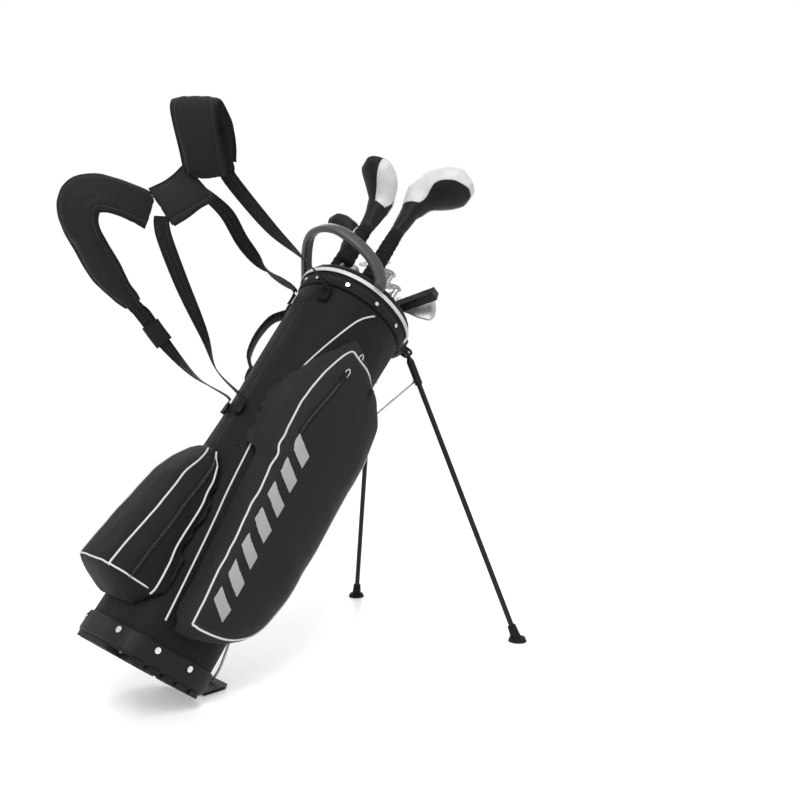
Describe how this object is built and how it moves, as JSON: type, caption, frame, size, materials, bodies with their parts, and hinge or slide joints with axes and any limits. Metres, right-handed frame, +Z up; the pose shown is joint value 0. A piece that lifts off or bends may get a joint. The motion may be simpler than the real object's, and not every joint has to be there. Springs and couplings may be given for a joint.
{
  "type": "golf club set in a stand bag",
  "caption": "Stand bag on two splayed folding legs, with a padded double shoulder harness, pockets, covered woods, cavity-back irons and a putter.",
  "frame": {"origin": "on the ground, in the middle of the foot flap's underside", "axes": "+Z up from the ground, +X from the bag's foot towards the feet of the legs, +Y across"},
  "size_m": [0.8499, 0.528, 1.0013],
  "materials": {
    "boot_rubber": "moulded, matt",
    "rivet_steel": "bright plated",
    "bag_fabric": "coated nylon weave, matt",
    "stay_rod": "glass fibre rod",
    "collar_mesh": "padded spacer mesh",
    "trim_white": "satin",
    "divider_fleece": "fleece lined",
    "handle_grey": "moulded, satin",
    "handle_black": "moulded, ribbed",
    "pocket_fabric": "coated nylon weave",
    "zip_black": "moulded",
    "bracket_black": "moulded",
    "pad_neoprene": "padded neoprene",
    "webbing_black": "woven nylon",
    "leg_black": "powder coated aluminium",
    "foot_rubber": "moulded",
    "wire_steel": "spring steel wire",
    "pin_steel": "turned",
    "shaft_steel": "polished, stepped",
    "shaft_graphite": "gloss lacquer",
    "wood_black": "gloss",
    "cover_white": "synthetic leather with knitted sock",
    "iron_steel": "satin, grooved",
    "putter_black": "satin"
  },
  "bodies": {
    "bag": {"base_boot": "boot_rubber", "base_rivets": "rivet_steel", "bag_tube": "bag_fabric", "tube_stays": "stay_rod", "top_collar": "collar_mesh", "collar_trim": "trim_white", "collar_rivets": "rivet_steel", "divider_frame": "divider_fleece", "collar_handle": "handle_grey", "carry_handle": "handle_black", "handle_rivets": "rivet_steel", "apparel_pocket": "pocket_fabric", "ball_pocket": "bag_fabric", "zip_pulls": "zip_black", "leg_bracket": "bracket_black", "bracket_screws": "rivet_steel", "leg_pins": "pin_steel", "flap_pin": "pin_steel", "centre_pad": "pad_neoprene", "near_pad": "pad_neoprene", "far_pad": "pad_neoprene", "near_top_webbing": "webbing_black", "far_top_webbing": "webbing_black", "near_low_webbing": "webbing_black", "far_low_webbing": "webbing_black", "strap_anchors": "zip_black", "ladder_locks": "zip_black"},
    "near_leg": {"near_leg_sleeve": "bracket_black", "near_leg_tube": "leg_black", "near_leg_foot": "foot_rubber"},
    "far_leg": {"far_leg_sleeve": "bracket_black", "far_leg_tube": "leg_black", "far_leg_foot": "foot_rubber"},
    "near_stay": {"near_stay": "wire_steel"},
    "far_stay": {"far_stay": "wire_steel"},
    "push_rod": {"push_rod": "wire_steel"},
    "foot_flap": {"foot_flap": "boot_rubber"},
    "driver": {"driver_shaft": "shaft_graphite", "driver_head": "wood_black", "driver_cover": "cover_white"},
    "fairway": {"fairway_shaft": "shaft_graphite", "fairway_head": "wood_black", "fairway_cover": "cover_white"},
    "hybrid": {"hybrid_shaft": "shaft_graphite", "hybrid_head": "wood_black", "hybrid_cover": "cover_white"},
    "iron_6": {"iron_6_shaft": "shaft_steel", "iron_6_head": "iron_steel"},
    "iron_7": {"iron_7_shaft": "shaft_steel", "iron_7_head": "iron_steel"},
    "iron_8": {"iron_8_shaft": "shaft_steel", "iron_8_head": "iron_steel"},
    "iron_9": {"iron_9_shaft": "shaft_steel", "iron_9_head": "iron_steel"},
    "wedge": {"wedge_shaft": "shaft_steel", "wedge_head": "iron_steel"},
    "putter": {"putter_shaft": "shaft_steel", "putter_head": "putter_black"}
  },
  "joints": [
    {"name": "near_leg_fold", "type": "hinge", "parent": "bag", "child": "near_leg", "pos_m": [0.45905, -0.053, 0.59049], "axis": [0.3016, 0.9239, -0.2356], "range_deg": [0, 52.34]},
    {"name": "far_leg_fold", "type": "hinge", "parent": "bag", "child": "far_leg", "pos_m": [0.45905, 0.053, 0.59049], "axis": [-0.3016, 0.9239, 0.2356], "range_deg": [0, 52.35]},
    {"name": "near_stay_turn", "type": "hinge", "parent": "near_leg", "child": "near_stay", "pos_m": [0.47492, -0.05935, 0.53157], "axis": [0.3016, 0.9239, -0.2356], "range_deg": [-67.01, 0]},
    {"name": "far_stay_turn", "type": "hinge", "parent": "far_leg", "child": "far_stay", "pos_m": [0.47492, 0.05935, 0.53157], "axis": [-0.3016, 0.9239, 0.2356], "range_deg": [-67.01, 0]},
    {"name": "push_rod_slide", "type": "slide", "parent": "bag", "child": "push_rod", "axis": [0.6157, 0, 0.788], "range_m": [-0.02719, 0]},
    {"name": "foot_flap_turn", "type": "hinge", "parent": "bag", "child": "foot_flap", "pos_m": [-0.029, 0, 0.0048], "axis": [0, 1, 0], "range_deg": [0, 38.01]},
    {"name": "driver_lift", "type": "slide", "parent": "bag", "child": "driver", "axis": [0.6157, 0, 0.788], "range_m": [0, 0.9]},
    {"name": "fairway_lift", "type": "slide", "parent": "bag", "child": "fairway", "axis": [0.6157, 0, 0.788], "range_m": [0, 0.9]},
    {"name": "hybrid_lift", "type": "slide", "parent": "bag", "child": "hybrid", "axis": [0.6157, 0, 0.788], "range_m": [0, 0.9]},
    {"name": "iron_6_lift", "type": "slide", "parent": "bag", "child": "iron_6", "axis": [0.6157, 0, 0.788], "range_m": [0, 0.9]},
    {"name": "iron_7_lift", "type": "slide", "parent": "bag", "child": "iron_7", "axis": [0.6157, 0, 0.788], "range_m": [0, 0.9]},
    {"name": "iron_8_lift", "type": "slide", "parent": "bag", "child": "iron_8", "axis": [0.6157, 0, 0.788], "range_m": [0, 0.9]},
    {"name": "iron_9_lift", "type": "slide", "parent": "bag", "child": "iron_9", "axis": [0.6157, 0, 0.788], "range_m": [0, 0.9]},
    {"name": "wedge_lift", "type": "slide", "parent": "bag", "child": "wedge", "axis": [0.6157, 0, 0.788], "range_m": [0, 0.9]},
    {"name": "putter_lift", "type": "slide", "parent": "bag", "child": "putter", "axis": [0.6157, 0, 0.788], "range_m": [0, 0.9]}
  ],
  "couplings": [
    {"joint": "far_leg_fold", "follows": "near_leg_fold", "ratio": 1},
    {"joint": "near_stay_turn", "follows": "near_leg_fold", "ratio": -1.2801},
    {"joint": "far_stay_turn", "follows": "near_leg_fold", "ratio": -1.2801},
    {"joint": "push_rod_slide", "follows": "near_leg_fold", "m_per_rad": -0.029655},
    {"joint": "foot_flap_turn", "follows": "near_leg_fold", "ratio": 0.72603}
  ]
}
